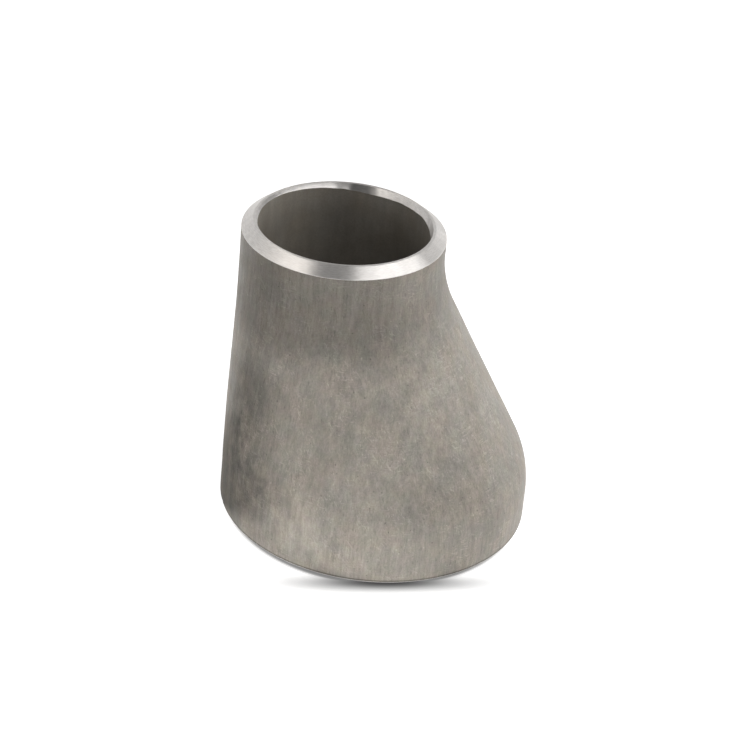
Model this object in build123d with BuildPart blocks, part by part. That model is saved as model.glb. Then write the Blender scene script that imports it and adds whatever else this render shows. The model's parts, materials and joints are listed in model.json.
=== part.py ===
from build123d import *

import os
from math import asin, atan2, cos, degrees, hypot, radians, sin, tan

# Eccentric butt-weld pipe reducer, formed from one piece of seamless stainless pipe.
#
# Frame: the origin is the centre of the large end's face, +Z runs towards the small
# end, and the straight back of the fitting (its flat side) faces -X. Every cross
# section is a circle, and its centre moves along X as it gets smaller.

# ---- driving dimensions, in millimetres and degrees ------------------------------
LARGE_OD = 89.0           # outside diameter of the large weld end
SMALL_OD = 57.0           # outside diameter of the small weld end
LENGTH = 89.0             # end face to end face
FLAT_SIDE_LEAN = 1.2      # how far the small end stands in from the flat side

LARGE_STRAIGHT = 10.7     # cylindrical stretch at the large end
SMALL_STRAIGHT = 5.7      # cylindrical stretch at the small end
SHOULDER_RADIUS = 26.5    # convex bend from the large cylinder into the slope
NECK_RADIUS = 40.0        # concave bend from the slope into the small cylinder

FORMED_WALL = 4.5         # wall of the body as it leaves the press
WELD_WALL = 4.0           # wall at the weld ends, where the mouths are bored to size
MOUTH_DEPTH = 1.6         # how far in each bored mouth reaches

BEVEL_ANGLE = 37.5        # weld bevel, measured from the plane of the end face
ROOT_FACE = 0.8           # flat ring left standing inside the bevel

BEND_SECTIONS = 7         # cross sections through each bend, ends included
SLOPE_SECTIONS = 4        # cross sections along the slope between the bends

# ---- sizes that follow from them -------------------------------------------------
large_r = LARGE_OD / 2
small_r = SMALL_OD / 2
small_x = small_r - large_r + FLAT_SIDE_LEAN      # centre of the small end
formed_top = LENGTH - SMALL_STRAIGHT              # where the small cylinder begins
formed_height = formed_top - LARGE_STRAIGHT
slope_side_shift = large_r - (small_x + small_r)  # run of the slope side, seen from Y

# The slope side is an arc, a straight tangent line and a second arc. slope_lean is
# the angle of that line from vertical.
bends = SHOULDER_RADIUS + NECK_RADIUS
slope_lean = asin(bends / hypot(formed_height, bends - slope_side_shift)) - atan2(
    bends - slope_side_shift, formed_height
)

bevel_width = WELD_WALL - ROOT_FACE
bevel_height = bevel_width * tan(radians(BEVEL_ANGLE))


def slope_side_points(inset: float) -> list[tuple[float, float]]:
    """(x, z) along the slope side, at a depth of inset below the outer surface."""
    shoulder = SHOULDER_RADIUS - inset
    neck = NECK_RADIUS + inset
    shoulder_x = large_r - SHOULDER_RADIUS
    neck_x = small_x + small_r + NECK_RADIUS
    turns = [slope_lean * i / (BEND_SECTIONS - 1) for i in range(BEND_SECTIONS)]
    lower = [(shoulder_x + shoulder * cos(a), LARGE_STRAIGHT + shoulder * sin(a)) for a in turns]
    upper = [(neck_x - neck * cos(a), formed_top - neck * sin(a)) for a in reversed(turns)]
    (x0, z0), (x1, z1) = lower[-1], upper[0]
    shares = [i / (SLOPE_SECTIONS + 1) for i in range(1, SLOPE_SECTIONS + 1)]
    slope = [(x0 + (x1 - x0) * s, z0 + (z1 - z0) * s) for s in shares]
    return lower + slope + upper


def flat_side_x(z: float, inset: float) -> float:
    """x of the flat side at height z, eased from the large end's side to the small end's."""
    share = (z - LARGE_STRAIGHT) / formed_height
    eased = share * share * (3 - 2 * share)
    return -large_r + inset + FLAT_SIDE_LEAN * eased


def sections(inset: float) -> list[tuple[float, float, float]]:
    """(centre x, z, radius) of each circle of the formed stretch."""
    found = []
    for x, z in slope_side_points(inset):
        back = flat_side_x(z, inset)
        found.append(((x + back) / 2, z, (x - back) / 2))
    return found


with BuildPart() as reducer_body:
    # the outside: large cylinder, formed eccentric stretch, small cylinder
    with BuildSketch(Plane.XY):
        Circle(large_r)
    extrude(amount=LARGE_STRAIGHT)
    for centre_x, z, radius in sections(0):
        with BuildSketch(Plane((centre_x, 0, z))):
            Circle(radius)
    loft()
    with BuildSketch(Plane((small_x, 0, formed_top))):
        Circle(small_r)
    extrude(amount=SMALL_STRAIGHT)

    # the weld bevels, each leaving a flat root face at the tip of the wall
    for end_face in (faces().sort_by(Axis.Z)[0], faces().sort_by(Axis.Z)[-1]):
        chamfer(end_face.edges(), length=bevel_width, length2=bevel_height, reference=end_face)

    # the passage, parallel to the outside
    with BuildSketch(Plane.XY):
        Circle(large_r - FORMED_WALL)
    extrude(amount=LARGE_STRAIGHT, mode=Mode.SUBTRACT)
    for centre_x, z, radius in sections(FORMED_WALL):
        with BuildSketch(Plane((centre_x, 0, z))):
            Circle(radius)
    loft(mode=Mode.SUBTRACT)
    with BuildSketch(Plane((small_x, 0, formed_top))):
        Circle(small_r - FORMED_WALL)
    extrude(amount=SMALL_STRAIGHT, mode=Mode.SUBTRACT)

    # the mouths, bored to the wall of the pipes that are welded on
    with BuildSketch(Plane.XY):
        Circle(large_r - WELD_WALL)
    extrude(amount=MOUTH_DEPTH, mode=Mode.SUBTRACT)
    with BuildSketch(Plane((small_x, 0, LENGTH))):
        Circle(small_r - WELD_WALL)
    extrude(amount=-MOUTH_DEPTH, mode=Mode.SUBTRACT)

os.makedirs("parts", exist_ok=True)
reducer_body.part.label = "reducer_body"
export_step(reducer_body.part, "parts/reducer_body.step")

print(f"slope lean {degrees(slope_lean):.2f} degrees from the axis, small end at x {small_x:.2f} mm")
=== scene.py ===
"""The looks of an eccentric butt-weld reducer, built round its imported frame.

The fitting is one piece of steel, so there is one mesh. It is drawn circle by circle: out
of the large mouth, up the outside, over the small end and down the passage. Its faces are
then sorted into four finishes: blasted skin, bright turned bevels, bored mouths and rough
passage.
"""

import json
import logging
from dataclasses import dataclass, field
from enum import Enum
from itertools import pairwise
from math import asin, atan2, cos, degrees, exp, hypot, pi, radians, sin, sqrt, tan

import bpy
from mathutils import Matrix, Vector, noise


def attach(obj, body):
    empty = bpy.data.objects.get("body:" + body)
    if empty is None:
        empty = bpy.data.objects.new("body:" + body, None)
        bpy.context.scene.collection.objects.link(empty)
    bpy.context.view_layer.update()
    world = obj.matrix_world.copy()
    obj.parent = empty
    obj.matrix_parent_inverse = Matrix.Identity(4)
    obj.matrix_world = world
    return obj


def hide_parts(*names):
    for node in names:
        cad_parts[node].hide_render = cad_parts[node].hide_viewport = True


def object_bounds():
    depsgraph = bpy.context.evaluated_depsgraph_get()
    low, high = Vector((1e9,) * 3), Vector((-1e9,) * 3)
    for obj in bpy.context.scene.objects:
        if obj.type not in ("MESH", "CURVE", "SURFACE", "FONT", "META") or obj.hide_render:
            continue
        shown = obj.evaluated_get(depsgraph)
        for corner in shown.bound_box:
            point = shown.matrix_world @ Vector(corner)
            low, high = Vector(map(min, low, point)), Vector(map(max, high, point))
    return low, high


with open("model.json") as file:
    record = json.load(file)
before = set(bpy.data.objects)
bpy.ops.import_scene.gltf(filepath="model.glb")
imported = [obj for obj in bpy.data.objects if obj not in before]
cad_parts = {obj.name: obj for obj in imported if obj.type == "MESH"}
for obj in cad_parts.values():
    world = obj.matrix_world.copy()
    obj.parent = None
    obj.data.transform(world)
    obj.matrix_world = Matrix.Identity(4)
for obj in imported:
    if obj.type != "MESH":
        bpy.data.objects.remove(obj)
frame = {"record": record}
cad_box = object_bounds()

log = logging.getLogger("reducer")

MM = 0.001
LAY = "lay"

Colour = tuple[float, float, float]
Point = tuple[float, float, float]
Waves = tuple[tuple[float, float], ...]
Spots = tuple[tuple[Point, float, float], ...]
Socket = bpy.types.NodeSocket


class End(Enum):
    """The two weld ends, by the first word of their mounts' names."""

    LARGE = "large"
    SMALL = "small"


class Zone(Enum):
    """The finishes of the steel, in the order of the mesh's material slots."""

    BLASTED = 0
    TURNED = 1
    BORED = 2
    ROUGH = 3


def bump(angle: float, centre: float, width: float) -> float:
    """Swell smoothly from 0 to 1 and back round a direction.

    Args:
        angle: direction, in radians.
        centre: direction of the top of the swell.
        width: how far to either side it has fallen to about a third.

    Returns:
        Height of the swell, from 0 to 1.
    """
    apart = (angle - centre + pi) % (2 * pi) - pi
    return exp(-((apart / width) ** 2))


def eased(value: float, low: float, high: float) -> float:
    """Rise smoothly from 0 at low to 1 at high."""
    share = min(max((value - low) / (high - low), 0.0), 1.0)
    return share * share * (3 - 2 * share)


def unevenness(point: Vector, waves: Waves) -> float:
    """Add up the noise of several waves at a point.

    Args:
        point: a point of the surface.
        waves: size and height of each wave.

    Returns:
        The sum.
    """
    return sum(height * noise.noise(point / size) for size, height in waves)


# ---- shape -------------------------------------------------------------------------


@dataclass(frozen=True)
class WeldEnd:
    """One weld end of the fitting, in metres.

    Args:
        centre_x: where the end's axis stands along X.
        face_z: height of the root face.
        inward: 1 if the fitting lies above the face, -1 if it lies below.
        outside_r: outside radius of the cylindrical stretch.
        bore_r: radius of the bored mouth.
        straight_z: height where the cylindrical stretch meets the formed body.
        root_face: width of the flat ring left standing inside the bevel.
        bevel_angle: slope of the bevel, from the plane of the face.
    """

    centre_x: float
    face_z: float
    inward: int
    outside_r: float
    bore_r: float
    straight_z: float
    root_face: float = 0.8 * MM
    bevel_angle: float = radians(37.5)

    @classmethod
    def from_mounts(cls, end: End) -> "WeldEnd":
        """Read one end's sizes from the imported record.

        Args:
            end: which end to read.

        Returns:
            The end, as its outside, bore and face mounts give it.
        """
        mounts = {mount["name"]: mount for mount in frame["record"]["mounts"]}
        outside = mounts[f"{end.value}_end_outside"]
        inward = 1 if end is End.LARGE else -1
        return cls(
            centre_x=outside["pos_m"][0],
            face_z=mounts[f"{end.value}_end_face"]["pos_m"][2],
            inward=inward,
            outside_r=outside["dims"]["r_mm"] * MM,
            bore_r=mounts[f"{end.value}_end_bore"]["dims"]["r_mm"] * MM,
            straight_z=outside["pos_m"][2] + inward * outside["dims"]["length_mm"] * MM / 2,
        )

    @property
    def tip_r(self) -> float:
        """Outer radius of the flat root face."""
        return self.bore_r + self.root_face

    @property
    def bevel_height(self) -> float:
        """How far the bevel reaches from the face."""
        return (self.outside_r - self.tip_r) * tan(self.bevel_angle)

    def height(self, depth: float) -> float:
        """Height of a point that lies some depth behind the face."""
        return self.face_z + self.inward * depth


@dataclass(frozen=True)
class Ring:
    """One circle of the shell.

    Args:
        centre_x: where its centre stands along X.
        z: its height.
        radius: its radius.
        zone: finish of the wall at the circle.
        mouth: the end whose mouth it lies in, if it follows that mouth's uneven cut.
        share: how far down that mouth: 1 at the end of the cut, 2 at the mouth's own end.
        corner: the end whose bevel has its outer corner here, if any.
    """

    centre_x: float
    z: float
    radius: float
    zone: Zone
    mouth: End | None = None
    share: float = 0.0
    corner: End | None = None


@dataclass
class ReducerShell:
    """The steel of the fitting, drawn as one closed shell of circles.

    The straight back of the fitting faces -X, and its slope faces +X.

    Args:
        shoulder_r: radius of the bend from the large cylinder into the slope.
        neck_r: radius of the bend from the slope into the small cylinder.
        formed_wall: thickness of the wall behind the mouths.
        corner_r: how far the rounding of the machined corners reaches.
        segments: points round each circle.
        outside_step: distance between the circles of the outside.
        passage_step: distance between the circles of the passage.
        bevel_step: distance between the circles of a bevel.
        mouth_shares: circles of a boring cut, as shares of its depth.
        runout_shares: circles behind a cut, where 2 is the end of the mouth's stretch.
        taper: how far the cut has left the bore's circle for the formed wall at its end.
        runout: share of the stretch behind the cut over which the rest of that step fades.
        mouth_zone: how deep a mouth's own stretch reaches.
        cut_depth_mm: mean depth of the boring cut, in millimetres.
        cut_waves: frequency round the mouth and height in millimetres of each wave of the cut.
        cut_swells: direction and width in degrees, and added depth in millimetres, of each
            place where the small mouth's cut runs deeper or shallower.
        dent_depth: depth of the press marks.
        dent_middle: their mean, as a share of that depth.
        dent_waves: size of each of their waves, and its height as a share of that depth.
        dent_margin: how far from each face the press marks reach their full depth.
        nick_depth: depth of the knocks along a bevel's outer corner.
        nick_waves: size and height of each wave of the knocks.
        nick_floor: sum of those waves above which there is a knock.
        ends: the two weld ends.
    """

    shoulder_r: float = 26.5 * MM
    neck_r: float = 40.0 * MM
    formed_wall: float = 4.5 * MM
    corner_r: float = 0.09 * MM
    segments: int = 288
    outside_step: float = 0.85 * MM
    passage_step: float = 1.5 * MM
    bevel_step: float = 0.5 * MM
    mouth_shares: tuple[float, ...] = (1.0, 0.75, 0.5, 0.3)
    runout_shares: tuple[float, ...] = (1.02, 1.08, 1.15, 1.25, 1.35, 1.5, 1.65, 1.85)
    taper: float = 0.85
    runout: float = 0.45
    mouth_zone: float = 9.0 * MM
    cut_depth_mm: float = 1.5
    cut_waves: Waves = ((3, 0.20), (9, 0.14))
    cut_swells: tuple[tuple[float, float, float], ...] = (
        (84, 14, 0.70),
        (48, 26, 0.55),
        (6, 20, 2.20),
        (-4, 7, 0.50),
        (166, 30, -0.65),
    )
    dent_depth: float = 0.16 * MM
    dent_middle: float = 0.5
    dent_waves: Waves = ((26 * MM, 0.60), (9 * MM, 0.27), (2.6 * MM, 0.12))
    dent_margin: float = 12.0 * MM
    nick_depth: float = 0.22 * MM
    nick_waves: Waves = ((1.7 * MM, 1.0), (0.8 * MM, 0.5))
    nick_floor: float = 0.32
    ends: dict[End, WeldEnd] = field(
        default_factory=lambda: {end: WeldEnd.from_mounts(end) for end in End}
    )

    def __post_init__(self) -> None:
        """Work out the lean of the slope and the places of its two bends."""
        large, small = self.ends[End.LARGE], self.ends[End.SMALL]
        self.flat_lean = large.outside_r + small.centre_x - small.outside_r
        self.formed_height = small.straight_z - large.straight_z
        shift = large.outside_r - (small.centre_x + small.outside_r)
        bends = self.shoulder_r + self.neck_r
        run = bends - shift
        self.lean = asin(bends / hypot(self.formed_height, run)) - atan2(run, self.formed_height)
        self.shoulder_x = large.outside_r - self.shoulder_r
        self.neck_x = small.centre_x + small.outside_r + self.neck_r

    def slope_x(self, z: float, inset: float = 0.0) -> float:
        """Find the slope side: an arc, a straight line and a second arc.

        Args:
            z: height.
            inset: depth below the outer surface.

        Returns:
            x of the slope side at that height.
        """
        shoulder = self.shoulder_r - inset
        neck = self.neck_r + inset
        rise = z - self.ends[End.LARGE].straight_z
        fall = self.ends[End.SMALL].straight_z - z
        if rise <= shoulder * sin(self.lean):
            return self.shoulder_x + sqrt(shoulder**2 - max(rise, 0.0) ** 2)
        if fall <= neck * sin(self.lean):
            return self.neck_x - sqrt(neck**2 - max(fall, 0.0) ** 2)
        foot_x = self.shoulder_x + shoulder * cos(self.lean)
        return foot_x - (rise - shoulder * sin(self.lean)) * tan(self.lean)

    def flat_x(self, z: float, inset: float = 0.0) -> float:
        """Find the flat side, which leans in a little over the formed stretch.

        Args:
            z: height.
            inset: depth below the outer surface.

        Returns:
            x of the flat side at that height.
        """
        large, small = self.ends[End.LARGE], self.ends[End.SMALL]
        lean = self.flat_lean * eased(z, large.straight_z, small.straight_z)
        return inset - large.outside_r + lean

    def section(self, z: float, inset: float = 0.0) -> tuple[float, float]:
        """Find the circle of the wall at one height.

        Args:
            z: height.
            inset: depth below the outer surface.

        Returns:
            The circle's centre x and its radius.
        """
        slope = self.slope_x(z, inset)
        flat = self.flat_x(z, inset)
        return (slope + flat) / 2, (slope - flat) / 2

    def cut_depth(self, end: End, angle: float) -> float:
        """Find how deep the boring cut runs before it leaves the uneven formed wall.

        Args:
            end: which mouth.
            angle: direction about the end's axis, from +X.

        Returns:
            Depth below the root face.
        """
        around = Vector((cos(angle), sin(angle), self.ends[end].bore_r / MM))
        depth = self.cut_depth_mm
        for frequency, height in self.cut_waves:
            depth += height * noise.noise(around * frequency)
        if end is End.SMALL:
            for centre, width, deeper in self.cut_swells:
                depth += deeper * bump(angle, radians(centre), radians(width))
        return depth * MM

    def mouth_point(self, end: End, share: float, angle: float) -> Point:
        """Place one point of a mouth, along its uneven cut.

        Args:
            end: which mouth.
            share: 0 at the face, 1 where the cut ends, 2 at the end of the mouth's stretch.
            angle: direction about the end's axis, from +X.

        Returns:
            The point.
        """
        weld_end = self.ends[end]
        cut = self.cut_depth(end, angle)
        beyond = max(share - 1, 0.0)
        z = weld_end.height(min(share, 1.0) * cut + beyond * (self.mouth_zone - cut))
        formed_x, formed_r = self.section(z, self.formed_wall)
        formed = self.taper * min(share, 1.0) + (1 - self.taper) * eased(beyond, 0, self.runout)
        centre_x = weld_end.centre_x + (formed_x - weld_end.centre_x) * formed
        radius = weld_end.bore_r + (formed_r - weld_end.bore_r) * formed
        return centre_x + radius * cos(angle), radius * sin(angle), z

    def weld_end_rings(self, end: End) -> list[Ring]:
        """Draw one weld end, from behind its bored mouth to its bevel's outer corner.

        Args:
            end: which end.

        Returns:
            The circles, in that order.
        """
        weld_end = self.ends[end]
        rings = []
        for share in sorted((*self.mouth_shares, *self.runout_shares), reverse=True):
            x, radius, z = self.mouth_point(end, share, pi / 2)
            zone = Zone.BORED if share <= 1 else Zone.ROUGH
            rings.append(Ring(x, z, radius, zone, mouth=end, share=share))
        lip = Vector((weld_end.bore_r, 0.0))
        tip = Vector((weld_end.tip_r, 0.0))
        shore = Vector((weld_end.outside_r, weld_end.bevel_height))
        in_mouth = Vector((0.0, 0.2 * MM))
        past_bevel = Vector((0.0, 0.6 * MM))
        path = [lip + in_mouth, lip, tip, shore, shore + past_bevel]
        outer_corner = len(path) - 2
        for leg, radius, depth in rounded(path, self.corner_r, self.bevel_step):
            zone = Zone.TURNED if leg else Zone.BORED
            corner = end if leg == outer_corner else None
            z = weld_end.height(depth)
            rings.append(Ring(weld_end.centre_x, z, radius, zone, corner=corner))
        return rings

    def wall_rings(self, low: float, high: float, step: float, inset: float, zone: Zone) -> list[Ring]:
        """Draw a stretch of the outside or of the passage.

        Args:
            low: height of its lowest circle.
            high: height of its highest circle.
            step: about how far apart the circles stand.
            inset: depth below the outer surface.
            zone: its finish.

        Returns:
            The circles, lowest first.
        """
        count = round((high - low) / step)
        heights = [low + (high - low) * i / count for i in range(count + 1)]
        return [Ring(x, z, r, zone) for z in heights for x, r in [self.section(z, inset)]]

    def rings(self) -> list[Ring]:
        """List every circle of the closed shell.

        Returns:
            The circles, in drawing order.
        """
        large, small = self.ends[End.LARGE], self.ends[End.SMALL]
        margin = 1.0 * MM
        outside = self.wall_rings(
            large.height(large.bevel_height + margin),
            small.height(small.bevel_height + margin),
            self.outside_step,
            0.0,
            Zone.BLASTED,
        )
        passage = self.wall_rings(
            large.height(self.mouth_zone),
            small.height(self.mouth_zone),
            self.passage_step,
            self.formed_wall,
            Zone.ROUGH,
        )
        return [
            *self.weld_end_rings(End.LARGE),
            *outside,
            *reversed(self.weld_end_rings(End.SMALL)),
            *reversed(passage),
        ]

    def draw(self, name: str) -> bpy.types.Object:
        """Extrude the first circle through all the others and close the shell.

        Args:
            name: the piece's name.

        Returns:
            The piece, with its place in its mesh.
        """
        rings = self.rings()
        first = rings[0]
        bpy.ops.object.select_all(action="DESELECT")
        bpy.ops.mesh.primitive_circle_add(
            vertices=self.segments, radius=first.radius, enter_editmode=True
        )
        bpy.ops.transform.translate(value=(first.centre_x, 0, first.z))
        for last, ring in pairwise(rings):
            step = (ring.centre_x - last.centre_x, 0, ring.z - last.z)
            bpy.ops.mesh.extrude_edges_move(TRANSFORM_OT_translate={"value": step})
            grow = ring.radius / last.radius
            bpy.ops.transform.resize(
                value=(grow, grow, 1), center_override=(ring.centre_x, 0, ring.z)
            )
        bpy.ops.mesh.select_non_manifold(extend=False)
        bpy.ops.mesh.bridge_edge_loops()
        bpy.ops.mesh.select_all(action="SELECT")
        bpy.ops.mesh.normals_make_consistent(inside=False)
        bpy.ops.object.mode_set(mode="OBJECT")
        piece = bpy.context.object
        piece.name = name
        piece.data.name = name
        self.work_surface(piece.data, rings)
        self.sort_faces(piece.data, rings)
        self.lay_lines(piece.data, rings)
        bpy.ops.object.shade_smooth_by_angle(angle=radians(40))
        return piece

    def work_surface(self, mesh: bpy.types.Mesh, rings: list[Ring]) -> None:
        """Give the drawn circles the unevenness of a pressed and machined part.

        Args:
            mesh: the drawn mesh, with its points in the order of the circles.
            rings: the circles.
        """
        for number, vertex in enumerate(mesh.vertices):
            ring = rings[number // self.segments]
            angle = atan2(vertex.co.y, vertex.co.x - ring.centre_x)
            if ring.mouth:
                vertex.co = self.mouth_point(ring.mouth, ring.share, angle)
            inward = Vector((cos(angle), sin(angle), 0.0))
            if ring.zone is Zone.BLASTED:
                vertex.co -= inward * self.dent(vertex.co)
            elif ring.zone is Zone.ROUGH and not ring.mouth:
                vertex.co += inward * self.dent(vertex.co)
            elif ring.corner:
                vertex.co -= inward * self.nick(vertex.co)

    def dent(self, point: Vector) -> float:
        """Find the depth of the press marks: none at the weld ends, most midway.

        Args:
            point: a point of the wall.

        Returns:
            The depth.
        """
        large, small = self.ends[End.LARGE], self.ends[End.SMALL]
        deep_low, deep_high = large.height(self.dent_margin), small.height(self.dent_margin)
        near_large = eased(point.z, large.height(large.bevel_height), deep_low)
        near_small = eased(-point.z, -small.height(small.bevel_height), -deep_high)
        marks = max(self.dent_middle + unevenness(point, self.dent_waves), 0.0)
        return self.dent_depth * near_large * near_small * marks

    def nick(self, point: Vector) -> float:
        """Depth of the small knocks along a bevel's outer corner."""
        return self.nick_depth * max(unevenness(point, self.nick_waves) - self.nick_floor, 0.0)

    def sort_faces(self, mesh: bpy.types.Mesh, rings: list[Ring]) -> None:
        """Give each face the material slot of its finish.

        Args:
            mesh: the drawn mesh.
            rings: the circles.
        """
        machined = {Zone.TURNED, Zone.BORED}
        for face in mesh.polygons:
            zones = {rings[number // self.segments].zone for number in face.vertices}
            left = zones - machined or zones
            face.material_index = max(zone.value for zone in left)

    def lay_lines(self, mesh: bpy.types.Mesh, rings: list[Ring]) -> None:
        """Map U to the run along the profile in metres, and V to the share of a turn.

        U is 0 at the middle of the outside, and grows from there into the small mouth.

        Args:
            mesh: the drawn mesh.
            rings: the circles.
        """
        runs = [0.0]
        for last, ring in pairwise([*rings, rings[0]]):
            runs.append(runs[-1] + hypot(ring.radius - last.radius, ring.z - last.z))
        outside = [run for run, ring in zip(runs, rings) if ring.zone is Zone.BLASTED]
        middle = (outside[0] + outside[-1]) / 2
        turns = []
        for number, vertex in enumerate(mesh.vertices):
            ring = rings[number // self.segments]
            turns.append(atan2(vertex.co.y, vertex.co.x - ring.centre_x) / (2 * pi) + 0.5)
        layer = mesh.uv_layers.new(name=LAY)
        for face in mesh.polygons:
            numbers = [number // self.segments for number in face.vertices]
            wraps_run = max(numbers) - min(numbers) > 1
            shares = [turns[number] for number in face.vertices]
            wraps_turn = max(shares) - min(shares) > 0.5
            for loop, ring_number, share in zip(face.loop_indices, numbers, shares):
                at_start = wraps_run and ring_number == 0
                run = runs[len(rings)] if at_start else runs[ring_number]
                turn = share + 1 if wraps_turn and share < 0.5 else share
                layer.data[loop].uv = (run - middle, turn)


def rounded(path: list[Vector], radius: float, step: float) -> list[tuple[int, float, float]]:
    """Walk a path, round its inner corners and put points along its straight legs.

    Args:
        path: the corners, each as (radius, depth).
        radius: how far the rounding reaches from each corner.
        step: about how far apart the points of a straight leg stand.

    Returns:
        Each point as (leg, radius, depth), where a rounding counts with the leg after it.
    """
    found = []
    start = path[0]
    for number in range(1, len(path) - 1):
        before, at, after = path[number - 1 : number + 2]
        enter = at + (before - at).normalized() * radius
        leave = at + (after - at).normalized() * radius
        middle = (enter + 2 * at + leave) / 4
        found.extend((number - 1, *point) for point in spaced(start, enter, step, radius))
        found.extend((number, *point) for point in (enter, middle, leave))
        start = leave
    return found


def spaced(start: Vector, end: Vector, step: float, margin: float) -> list[Vector]:
    """Put points between two ends: one close to each, and the rest evenly.

    Args:
        start: one end.
        end: the other end.
        step: about how far apart the even points stand.
        margin: how close the first and last points stand to the ends.

    Returns:
        The points, without the ends.
    """
    length = (end - start).length
    if length < 3 * margin:
        return []
    count = max(round(length / step), 1)
    even = [i / count for i in range(1, count)]
    shares = [margin / length, *even, 1 - margin / length]
    return [start.lerp(end, share) for share in shares]


# ---- finishes ----------------------------------------------------------------------


class Finish:
    """A material and a short way to wire its nodes."""

    def __init__(self, name: str, world: bpy.types.World | None = None) -> None:
        """Start an empty material, or empty a world.

        Args:
            name: the material's name.
            world: the world to wire instead of a new material.
        """
        self.material = world or bpy.data.materials.new(name)
        self.material.use_nodes = True
        self.tree = self.material.node_tree
        self.tree.nodes.clear()

    def add(self, kind: str, inputs: dict | None = None, **settings: object) -> bpy.types.Node:
        """Add one node.

        Args:
            kind: the node's type, without its ShaderNode prefix.
            inputs: what each socket gets, a value or another node's output.
            settings: the node's own properties.

        Returns:
            The node.
        """
        node = self.tree.nodes.new("ShaderNode" + kind)
        for name, value in settings.items():
            setattr(node, name, value)
        for name, value in (inputs or {}).items():
            if isinstance(value, Socket):
                self.tree.links.new(value, node.inputs[name])
            else:
                node.inputs[name].default_value = value
        return node

    def math(self, operation: str, *values: Socket | float) -> Socket:
        """Combine values with one math node."""
        return self.add("Math", dict(enumerate(values)), operation=operation).outputs[0]

    def place(self) -> Socket:
        """Object coordinates, in millimetres."""
        place = self.add("TexCoord").outputs["Object"]
        return self.scaled(place, (1 / MM, 1 / MM, 1 / MM))

    def scaled(self, vector: Socket, by: Point) -> Socket:
        """Stretch a pattern's coordinates."""
        return self.add("VectorMath", {0: vector, 1: by}, operation="MULTIPLY").outputs[0]

    def cloud(self, vector: Socket, size: float, detail: float = 2.0, rough: float = 0.5) -> Socket:
        """Make soft noise.

        Args:
            vector: coordinates, in millimetres.
            size: size of one cloud, in millimetres.
            detail: how many finer layers it has.
            rough: how strong those are.

        Returns:
            Values around 0.5.
        """
        inputs = {"Vector": vector, "Scale": 1 / size, "Detail": detail, "Roughness": rough}
        return self.add("TexNoise", inputs).outputs["Fac"]

    def between(self, value: Socket, low: float, high: float, out: tuple = (0.0, 1.0)) -> Socket:
        """Rise smoothly from one value to another.

        Args:
            value: what is read.
            low: where the rise starts.
            high: where it ends.
            out: the values before and after it.

        Returns:
            The eased value.
        """
        inputs = {"Value": value, "From Min": low, "From Max": high}
        inputs |= {"To Min": out[0], "To Max": out[1]}
        return self.add("MapRange", inputs, interpolation_type="SMOOTHSTEP").outputs["Result"]

    def blend(self, share: Socket | float, first: Socket | Colour, second: Socket | Colour) -> Socket:
        """Mix two colours.

        Args:
            share: how much of the second colour there is, from 0 to 1.
            first: the first colour.
            second: the second colour.

        Returns:
            The mixed colour.
        """
        node = self.add("Mix", data_type="RGBA")
        for index, value in ((0, share), (6, first), (7, second)):
            if isinstance(value, Socket):
                self.tree.links.new(value, node.inputs[index])
            elif index:
                node.inputs[index].default_value = (*value, 1.0)
            else:
                node.inputs[index].default_value = value
        return node.outputs[2]

    def toned(self, colour: Socket, tone: Socket) -> Socket:
        """Darken or lighten a colour by a factor."""
        return self.add("VectorMath", {0: colour, "Scale": tone}, operation="SCALE").outputs[0]

    def varied(self, pattern: Socket, amount: float) -> Socket:
        """Turn noise around 0.5 into a factor around 1."""
        return self.math("MULTIPLY_ADD", pattern, 2 * amount, 1 - amount)

    def hairs(self, vector: Socket, stretch: Point, turn: Point = (0.0, 0.0, 0.0)) -> Socket:
        """Make sparse, thin scratches of one direction.

        Args:
            vector: coordinates, in millimetres.
            stretch: how often the pattern changes along each axis, per millimetre.
            turn: how the pattern is turned, in radians about each axis.

        Returns:
            1 on a scratch and 0 beside it.
        """
        turned = self.add("Mapping", {"Vector": vector, "Rotation": turn}).outputs[0]
        strands = self.cloud(self.scaled(turned, stretch), 1.0, 1.0)
        return self.between(strands, 0.60, 0.72)

    def specks(self, vector: Socket, apart: float, radius: float) -> Socket:
        """Make sparse round specks.

        Args:
            vector: coordinates, in millimetres.
            apart: about how far apart the specks may stand, in millimetres.
            radius: radius of the largest ones, in millimetres.

        Returns:
            1 on a speck and 0 beside it.
        """
        cells = self.add("TexVoronoi", {"Vector": vector, "Scale": 1 / apart})
        largest = self.math("MULTIPLY", cells.outputs["Color"], radius / apart)
        inside = self.math("SUBTRACT", largest, cells.outputs["Distance"])
        return self.between(inside, 0.0, 0.3 * radius / apart)

    def apart(self, vector: Socket, centre: Point) -> Socket:
        """Measure the distance from a point, in millimetres."""
        return self.add("VectorMath", {0: vector, 1: centre}, operation="DISTANCE").outputs["Value"]

    def finish(self, **inputs: object) -> bpy.types.Material:
        """Close the material with its shader.

        Args:
            inputs: what each of the shader's sockets gets, with _ for a space.

        Returns:
            The material.
        """
        named = {name.replace("_", " "): value for name, value in inputs.items()}
        shader = self.add("BsdfPrincipled", named)
        output = self.add("OutputMaterial")
        self.tree.links.new(shader.outputs[0], output.inputs["Surface"])
        return self.material


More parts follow.
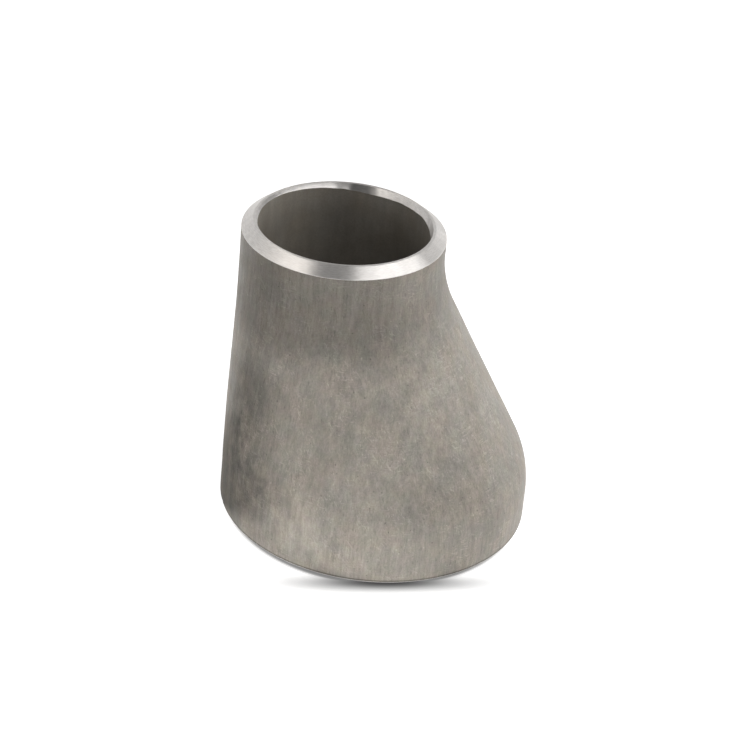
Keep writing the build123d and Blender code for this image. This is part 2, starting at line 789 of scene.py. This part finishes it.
@dataclass(frozen=True)
class BlastedSkin:
    """Grey steel after pressing, blasting and pickling: matt, cloudy and faintly drawn.

    Places and reaches are in millimetres, in the fitting's own frame.

    Args:
        name: the material's name.
        cool: colour of the cool patches.
        warm: colour of the warm patches.
        roughness: its least and its most.
        tints: factors of the faint lilac and olive tints.
        grain: depth of the blasted grain, in metres.
        collar: heights between which the painted shade on the collar under the small end grows dark.
        collar_slant: how much the collar's edge rises towards the slope side.
        collar_turn: how far its darkest side is turned from the front to the flat side.
        collar_front: the span from its darkest side to its lightest.
        collar_depth: how much darker it is, at the least and at the most.
        collar_ragged: how far the collar's edge wanders up and down.
        ragged: how far the edges of the light and dark spots wander.
        wear_and_shading_spots: centre, reach and strength of each spot, where dark ones are negative;
            they are wear and painted light and shade.
        base_shade_heights: heights between which the painted shade line round the large end fades.
        base_shade_tone: tone of that painted shade line.
    """

    name: str = "blasted_skin"
    cool: Colour = (0.313, 0.2950, 0.262)
    warm: Colour = (0.330, 0.2980, 0.259)
    roughness: tuple[float, float] = (0.46, 0.62)
    tints: tuple[Colour, Colour] = ((1.008, 0.988, 1.012), (0.992, 1.012, 0.988))
    grain: float = 0.035 * MM
    collar: tuple[float, float] = (63.5, 76.5)
    collar_slant: float = 0.12
    collar_turn: float = 0.3
    collar_front: tuple[float, float] = (-26.0, -13.0)
    collar_depth: tuple[float, float] = (0.22, 0.40)
    collar_ragged: float = 12.0
    ragged: float = 26.0
    wear_and_shading_spots: Spots = (
        # the dark spots down the left side and at its foot are painted shade, and the light spot high
        # on the slope side is painted light
        ((-13.0, -42.0, 11.0), 17.0, 0.34),
        ((2.0, -44.0, 5.0), 12.0, 0.16),
        ((-26.0, -27.0, 47.0), 21.0, -0.24),
        ((-36.0, -27.0, 2.0), 9.0, -0.22),
        ((30.0, -26.0, 16.0), 24.0, -0.10),
        ((8.0, -36.0, 34.0), 20.0, 0.10),
        ((18.0, -22.5, 52.0), 24.0, 0.24),
        ((-39.0, -16.0, 48.0), 18.0, -0.22),
    )
    base_shade_heights: tuple[float, float] = (2.75, 3.3)
    base_shade_tone: float = 0.55

    def material(self) -> bpy.types.Material:
        """Build the material.

        Returns:
            The material.
        """
        f = Finish(self.name)
        place = f.place()
        clouds = f.cloud(place, 17.0, 3.0)
        mottle = f.cloud(place, 4.5, 4.0, 0.62)
        grain = f.cloud(place, 0.45, 2.0, 0.7)
        tone = f.math("MULTIPLY", f.varied(clouds, 0.20), f.varied(mottle, 0.35))
        tone = f.math("MULTIPLY", tone, f.varied(grain, 0.22))
        tone = f.math("MULTIPLY", tone, self.drawn_lines(f, place))
        tone = f.math("MULTIPLY", tone, self.scuffs_and_shading(f, place))
        # painted shade on the collar under the small end
        tone = f.math("MULTIPLY", tone, self.collar_shade(f, place, clouds))
        # painted shade line just above the large end's bevel
        tone = f.math("MULTIPLY", tone, self.base_shade_line(f, place))
        colour = f.toned(self.hue(f, place), tone)
        rough = f.between(mottle, 0.3, 0.7, self.roughness)
        bumps = f.add("Bump", {"Height": grain, "Distance": self.grain})
        return f.finish(
            Base_Color=colour, Metallic=1.0, Roughness=rough, Normal=bumps.outputs[0]
        )

    def hue(self, f: Finish, place: Socket) -> Socket:
        """Colour the steel in warm and cool patches with a faint lilac or olive tint.

        Args:
            f: the material that is being wired.
            place: object coordinates, in millimetres.

        Returns:
            The colour.
        """
        broad = f.between(f.cloud(place, 9.0, 5.0, 0.65), 0.36, 0.64)
        tint = f.between(f.cloud(place, 3.0, 5.0, 0.7), 0.38, 0.62)
        factors = {0: f.blend(broad, self.cool, self.warm), 1: f.blend(tint, *self.tints)}
        return f.add("VectorMath", factors, operation="MULTIPLY").outputs[0]

    def drawn_lines(self, f: Finish, place: Socket) -> Socket:
        """Draw the streaks that pressing leaves along the wall.

        Args:
            f: the material that is being wired.
            place: object coordinates, in millimetres.

        Returns:
            The streaks' tone.
        """
        wide = f.varied(f.cloud(f.scaled(place, (1.0, 1.0, 0.06)), 1.6, 2.0), 0.22)
        fine = f.varied(f.cloud(f.scaled(place, (1.0, 1.0, 0.14)), 0.55, 1.0), 0.18)
        return f.math("MULTIPLY", wide, fine)

    def scuffs_and_shading(self, f: Finish, place: Socket) -> Socket:
        """Strew the scratches and specks, and the spots of wear and of painted light and shade.

        Args:
            f: the material that is being wired.
            place: object coordinates, in millimetres.

        Returns:
            The tone of them all.
        """
        patches = f.between(f.cloud(place, 7.0, 2.0), 0.40, 0.62)
        upright = f.hairs(place, (3.4, 3.4, 0.38))
        level = f.hairs(place, (0.42, 0.42, 3.4))
        slanted = f.hairs(place, (3.4, 0.45, 0.45), (0.0, 0.7, 0.3))
        light = f.math("MAXIMUM", upright, f.math("MAXIMUM", level, slanted))
        tone = f.math("MULTIPLY_ADD", f.math("MULTIPLY", light, patches), 0.26, 1.0)
        dark = f.hairs(place, (2.6, 2.6, 0.5), (0.15, 0.1, 0.0))
        tone = f.math("MULTIPLY_ADD", dark, -0.16, tone)
        tone = f.math("MULTIPLY_ADD", f.specks(place, 1.6, 0.30), 0.30, tone)
        tone = f.math("MULTIPLY_ADD", f.specks(place, 2.3, 0.36), -0.30, tone)
        ragged = f.add("VectorMath", {0: place, 1: self.wobble(f, place)}, operation="ADD")
        # spots of wear, and of painted light and painted shade
        for centre, reach, strength in self.wear_and_shading_spots:
            spot = f.between(f.apart(ragged.outputs[0], centre), 0.0, reach, out=(1.0, 0.0))
            tone = f.math("MULTIPLY_ADD", spot, strength, tone)
        return tone

    def wobble(self, f: Finish, place: Socket) -> Socket:
        """Make the edges of a patch ragged.

        Args:
            f: the material that is being wired.
            place: object coordinates, in millimetres.

        Returns:
            The shift of the coordinates.
        """
        noise_colour = f.add("TexNoise", {"Vector": place, "Scale": 0.16, "Detail": 4.0})
        centred = {0: noise_colour.outputs["Color"], 1: (0.5, 0.5, 0.5)}
        middle = f.add("VectorMath", centred, operation="SUBTRACT").outputs[0]
        return f.scaled(middle, (self.ragged,) * 3)

    def base_shade_line(self, f: Finish, place: Socket) -> Socket:
        """Tone of the thin dark line of painted shade round the large end, just above its bevel."""
        height = f.add("SeparateXYZ", {0: place}).outputs["Z"]
        return f.between(height, *self.base_shade_heights, out=(self.base_shade_tone, 1.0))

    def collar_shade(self, f: Finish, place: Socket, clouds: Socket) -> Socket:
        """Paint shade on the collar under the small end, whose upright wall gets less of the top
        light, most of all in front.

        Args:
            f: the material that is being wired.
            place: object coordinates, in millimetres.
            clouds: soft noise, which makes the collar's edge uneven.

        Returns:
            The collar's tone.
        """
        axes = f.add("SeparateXYZ", {0: place}).outputs
        slant = f.math("MULTIPLY_ADD", axes["X"], -self.collar_slant, axes["Z"])
        height = f.math("MULTIPLY_ADD", clouds, self.collar_ragged, slant)
        front = f.math("MULTIPLY_ADD", axes["X"], self.collar_turn, axes["Y"])
        depth = f.between(front, *self.collar_front, out=self.collar_depth[::-1])
        return f.math("SUBTRACT", 1.0, f.math("MULTIPLY", f.between(height, *self.collar), depth))


@dataclass(frozen=True)
class TurnedSteel:
    """Bright steel of the bevels, root faces and bored mouths, with fine turning lines.

    The tool leaves saw-toothed grooves in a bored mouth, and lean is the slope of the flanks
    that catch the light: they face the mouth's opening.

    Args:
        name: the material's name.
        dull: colour of the steel between the lines.
        bright: colour of the lines.
        roughness: its least and its most.
        groove: depth of the turning lines, in metres.
        lean: slope of the grooves' flanks.
        chatter: how much the tool's marks vary in tone.
        dark_reflections: centre, radius and tone of each painted dark reflection, in millimetres.
    """

    name: str = "turned_steel"
    dull: Colour = (0.70, 0.67, 0.64)
    bright: Colour = (0.86, 0.835, 0.81)
    roughness: tuple[float, float] = (0.30, 0.40)
    groove: float = 0.006 * MM
    lean: float = 0.0
    chatter: float = 0.12
    dark_reflections: Spots = ()

    def material(self) -> bpy.types.Material:
        """Build the material.

        Returns:
            The material.
        """
        f = Finish(self.name)
        lay = f.add("UVMap", uv_map=LAY).outputs[0]
        lines = f.cloud(f.scaled(lay, (1 / MM, 14.0, 0.0)), 0.16, 2.0, 0.6)
        chatter = f.cloud(f.scaled(lay, (0.5 / MM, 150.0, 0.0)), 2.2, 3.0)
        colour = f.blend(f.between(lines, 0.3, 0.7), self.dull, self.bright)
        tone = f.varied(chatter, self.chatter)
        place = f.place()
        # painted dark reflections on the bored steel
        for centre, reach, dark in self.dark_reflections:
            dark_reflection = f.between(f.apart(place, centre), 0.6 * reach, reach, out=(dark, 1.0))
            tone = f.math("MULTIPLY", tone, dark_reflection)
        colour = f.toned(colour, tone)
        rough = f.between(lines, 0.3, 0.7, self.roughness)
        from_middle = f.math("ABSOLUTE", f.add("SeparateXYZ", {0: lay}).outputs["X"])
        height = f.math("MULTIPLY_ADD", lines, self.groove, f.math("MULTIPLY", from_middle, self.lean))
        bumps = f.add("Bump", {"Height": height, "Distance": 1.0})
        tangent = f.add("Tangent", direction_type="UV_MAP", uv_map=LAY)
        return f.finish(
            Base_Color=colour,
            Metallic=1.0,
            Roughness=rough,
            Anisotropic=0.95,
            Normal=bumps.outputs[0],
            Tangent=tangent.outputs[0],
        )


@dataclass(frozen=True)
class RoughPassage:
    """Dull brown-grey scale of the unmachined passage.

    Args:
        name: the material's name.
        grey: colour of the thin scale.
        brown: colour of the thick scale.
        grain: depth of its grain, in metres.
        lit_wall_span: X in millimetres where the painted light on the passage's left wall, which faces
            the right softbox, is brightest, and where it has faded.
        lit_wall_tones: the tones at those two places.
    """

    name: str = "rough_passage"
    grey: Colour = (0.260, 0.248, 0.226)
    brown: Colour = (0.238, 0.208, 0.168)
    grain: float = 0.05 * MM
    lit_wall_span: tuple[float, float] = (-38.0, -20.0)
    lit_wall_tones: tuple[float, float] = (1.6, 0.85)

    def material(self) -> bpy.types.Material:
        """Build the material.

        Returns:
            The material.
        """
        f = Finish(self.name)
        place = f.place()
        clouds = f.cloud(place, 12.0, 3.0)
        streaks = f.cloud(f.scaled(place, (1.0, 1.0, 0.08)), 1.8, 2.0)
        grain = f.cloud(place, 0.6, 2.0, 0.7)
        tone = f.math("MULTIPLY", f.varied(clouds, 0.25), f.varied(streaks, 0.15))
        tone = f.math("MULTIPLY", tone, f.varied(grain, 0.2))
        # painted light on the passage's left wall, which faces the right softbox; darker towards +X
        across = f.add("SeparateXYZ", {0: place}).outputs["X"]
        tone = f.math("MULTIPLY", tone, f.between(across, *self.lit_wall_span, out=self.lit_wall_tones))
        colour = f.toned(f.blend(f.cloud(place, 7.0), self.grey, self.brown), tone)
        bumps = f.add("Bump", {"Height": grain, "Distance": self.grain})
        return f.finish(Base_Color=colour, Metallic=0.4, Roughness=0.62, Normal=bumps.outputs[0])


# ---- studio ------------------------------------------------------------------------


@dataclass(frozen=True)
class Softbox:
    """A rectangular soft light that points at the fitting.

    Args:
        name: its name.
        towards: direction from the fitting to the light.
        distance: how far away it stands, in metres.
        size: its width across the fitting and its length from front to back, in metres.
        radiance: its brightness, where 1 is white.
        colour: its tint.
    """

    name: str
    towards: Point
    distance: float
    size: tuple[float, float]
    radiance: float
    colour: Colour = (1.0, 1.0, 1.0)

    def place(self, aim: Vector) -> None:
        """Stand the light in the scene.

        Args:
            aim: the point that it faces.
        """
        light = bpy.data.lights.new(self.name, "AREA")
        light.shape = "RECTANGLE"
        light.size, light.size_y = self.size
        light.energy = self.radiance * pi * self.size[0] * self.size[1]
        light.color = self.colour
        lamp = bpy.data.objects.new(self.name, light)
        direction = Vector(self.towards).normalized()
        lamp.matrix_world = Matrix.Translation(aim + direction * self.distance) @ (
            direction.to_track_quat("Z", "X").to_matrix().to_4x4()
        )
        lamp.visible_camera = False
        bpy.context.scene.collection.objects.link(lamp)


@dataclass(frozen=True)
class Card:
    """A plain card that only shows as a reflection in the steel.

    Args:
        name: its name.
        centre: its middle, in metres.
        facing: the direction that it faces.
        size: its width and height, in metres.
        radiance: its brightness, where 1 is white.
    """

    name: str
    centre: Point
    facing: Point
    size: tuple[float, float]
    radiance: float

    def place(self) -> None:
        """Stand the card in the scene."""
        bpy.ops.object.select_all(action="DESELECT")
        bpy.ops.mesh.primitive_plane_add(size=1.0)
        card = bpy.context.object
        card.name = self.name
        card.scale = (*self.size, 1.0)
        card.rotation_euler = Vector(self.facing).to_track_quat("Z", "Y").to_euler()
        card.location = self.centre
        f = Finish(self.name)
        shader = f.add("Emission", {"Strength": self.radiance})
        output = f.add("OutputMaterial")
        f.tree.links.new(shader.outputs[0], output.inputs["Surface"])
        card.data.materials.append(f.material)
        card.visible_camera = False
        card.visible_diffuse = False
        card.visible_shadow = False


@dataclass
class Studio:
    """Pale lit floor, soft light and the camera.

    The floor's painted shadow is in millimetres, and angles are in radians.

    Args:
        aim: the point that the lights and the camera face.
        floor_half: half the floor's width, in metres.
        floor_colour: the floor's colour.
        floor_glow: how much the floor glows.
        shade_centre: middle of the oval shade under the front edge.
        shade_reach: its half lengths.
        shade_turn: how far it is turned about Z.
        shade_fade: where it starts and ends to fade, as shares of its reach.
        shade_tone: its darkest tone.
        foot_edge: distances between which the shade round the whole foot fades.
        foot_tone: the darkest tone of that.
        ceiling: colour overhead.
        back_wall: colour behind the fitting.
        front_wall: colour behind the camera.
        cornice: rise at which the walls turn into the ceiling.
        back_rise: how much higher that is at the back.
        softboxes: the soft lights.
        cards: the cards that the steel reflects.
        camera_distance: from the aim to the camera.
        camera_azimuth: how far the camera stands round from the front, towards +X.
        camera_elevation: how far it looks down.
        camera_pan: how far it then turns aside.
        camera_tilt: how far it turns up.
        camera_roll: how far it rolls.
        lens: its focal length, in millimetres.
        sensor: its sensor's width, in millimetres.
    """

    aim: Vector
    floor_half: float = 3.0
    floor_colour: Colour = (0.75, 0.75, 0.75)
    floor_glow: float = 0.7
    shade_centre: Point = (12.6, -39.3, 0.0)
    shade_reach: Point = (40.0, 6.3, 1.0)
    shade_turn: float = radians(18.4)
    shade_fade: tuple[float, float] = (0.05, 1.0)
    shade_tone: float = 0.08
    foot_edge: tuple[float, float] = (42.1, 43.9)
    foot_tone: float = 0.25
    ceiling: Colour = (0.215, 0.215, 0.215)
    back_wall: Colour = (0.72, 0.72, 0.72)
    front_wall: Colour = (1.00, 1.00, 1.00)
    cornice: tuple[float, float] = (0.08, 0.60)
    back_rise: float = 0.25
    softboxes: tuple[Softbox, ...] = (
        Softbox("right_box", (0.504, -0.06, 0.857), 1.0, (0.28, 1.5), 3.2),
        Softbox("left_box", (-0.504, -0.06, 0.857), 1.0, (0.28, 1.5), 1.9, (1.0, 0.97, 0.93)),
    )
    cards: tuple[Card, ...] = (
        Card("dark_card", (-0.115, -0.029, 0.001), (0, 0, 1), (0.085, 0.088), 0.0),
        Card("foot_card", (-0.058, -0.020, 0.001), (0, 0, 1), (0.034, 0.085), 0.32),
        Card("bright_card", (0.31, 0.26, 0.02), (-0.77, -0.64, 0.0), (0.60, 0.13), 2.1),
    )
    camera_distance: float = 655.3 * MM
    camera_azimuth: float = 0.1591
    camera_elevation: float = 0.5368
    camera_pan: float = 0.0036
    camera_tilt: float = -0.0026
    camera_roll: float = 0.0978
    lens: float = 110.5
    sensor: float = 36.0

    def lay_floor(self) -> None:
        """Lay the pale floor that the fitting stands on, with a painted contact shadow under the front
        edge and round the foot.
        """
        bpy.ops.object.select_all(action="DESELECT")
        bpy.ops.mesh.primitive_plane_add(size=2 * self.floor_half)
        floor = bpy.context.object
        floor.name = "studio_floor"
        f = Finish("pale_floor")
        place = f.place()
        from_foot = f.apart(place, (0.0, 0.0, 0.0))
        round_foot = f.between(from_foot, *self.foot_edge, out=(self.foot_tone, 1.0))
        oval = {"Vector": place, "Location": self.shade_centre, "Scale": self.shade_reach}
        oval["Rotation"] = (0.0, 0.0, self.shade_turn)
        in_oval = f.add("Mapping", oval, vector_type="TEXTURE").outputs[0]
        from_oval = f.apart(in_oval, (0.0, 0.0, 0.0))
        in_front = f.between(from_oval, *self.shade_fade, out=(self.shade_tone, 1.0))
        lit = f.math("MINIMUM", round_foot, in_front)
        white = f.add("CombineXYZ", {axis: lit for axis in "XYZ"}).outputs[0]
        floor.data.materials.append(
            f.finish(
                Base_Color=f.scaled(white, self.floor_colour),
                Roughness=0.9,
                Emission_Color=f.scaled(white, (self.floor_glow,) * 3),
                Emission_Strength=1.0,
            )
        )

    def light(self) -> None:
        """Light the room, and stand the softboxes and cards round the fitting."""
        world = bpy.data.worlds.new("studio")
        world.use_nodes = True
        f = Finish("studio_walls", world)
        direction = f.add("SeparateXYZ", {0: f.add("TexCoord").outputs["Generated"]})
        back = f.between(direction.outputs["Y"], -0.5, 0.5)
        walls = f.blend(back, self.front_wall, self.back_wall)
        above = f.math("MULTIPLY_ADD", back, -self.back_rise, direction.outputs["Z"])
        colour = f.blend(f.between(above, *self.cornice), walls, self.ceiling)
        background = f.add("Background", {"Color": colour})
        output = f.add("OutputWorld")
        f.tree.links.new(background.outputs[0], output.inputs["Surface"])
        bpy.context.scene.world = world
        for softbox in self.softboxes:
            softbox.place(self.aim)
        for card in self.cards:
            card.place()

    def stand_camera(self) -> None:
        """Stand the camera at its place, turned a little off the fitting's middle."""
        around = self.camera_azimuth
        level = cos(self.camera_elevation)
        back = Vector((sin(around) * level, -cos(around) * level, sin(self.camera_elevation)))
        turn = back.to_track_quat("Z", "Y").to_matrix()
        turn = turn @ Matrix.Rotation(self.camera_pan, 3, "Y")
        turn = turn @ Matrix.Rotation(self.camera_tilt, 3, "X")
        turn = turn @ Matrix.Rotation(self.camera_roll, 3, "Z")
        lens = bpy.data.cameras.new("camera")
        lens.lens = self.lens
        lens.sensor_width = self.sensor
        lens.clip_start = 10 * MM
        camera = bpy.data.objects.new("camera", lens)
        camera.matrix_world = (
            Matrix.Translation(self.aim + back * self.camera_distance) @ turn.to_4x4()
        )
        bpy.context.scene.collection.objects.link(camera)
        bpy.context.scene.camera = camera


def main() -> None:
    """Build the fitting, dress it and set it in its studio."""
    logging.basicConfig(level=logging.INFO, format="%(name)s: %(message)s")
    shell = ReducerShell()
    piece = shell.draw("reducer")
    finishes = {
        Zone.BLASTED: BlastedSkin(),
        Zone.TURNED: TurnedSteel(),
        Zone.BORED: TurnedSteel(
            name="bored_steel",
            lean=0.5,
            chatter=0.22,
            # painted dark reflection on the back of the small mouth
            dark_reflections=(((-14.6, 24.5, 87.3), 5.0, 0.45),),
        ),
        Zone.ROUGH: RoughPassage(),
    }
    for zone in Zone:
        piece.data.materials.append(finishes[zone].material())
    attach(piece, "root")
    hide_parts("reducer_body")
    slope = degrees(shell.lean)
    log.info("%s: %d faces, slope %.2f degrees", piece.name, len(piece.data.polygons), slope)

    low, high = cad_box
    studio = Studio(aim=Vector((0.0, 0.0, (low.z + high.z) / 2)))
    studio.lay_floor()
    studio.light()
    studio.stand_camera()
    bpy.context.scene.view_settings.view_transform = "Standard"


if __name__ == "__main__":
    main()
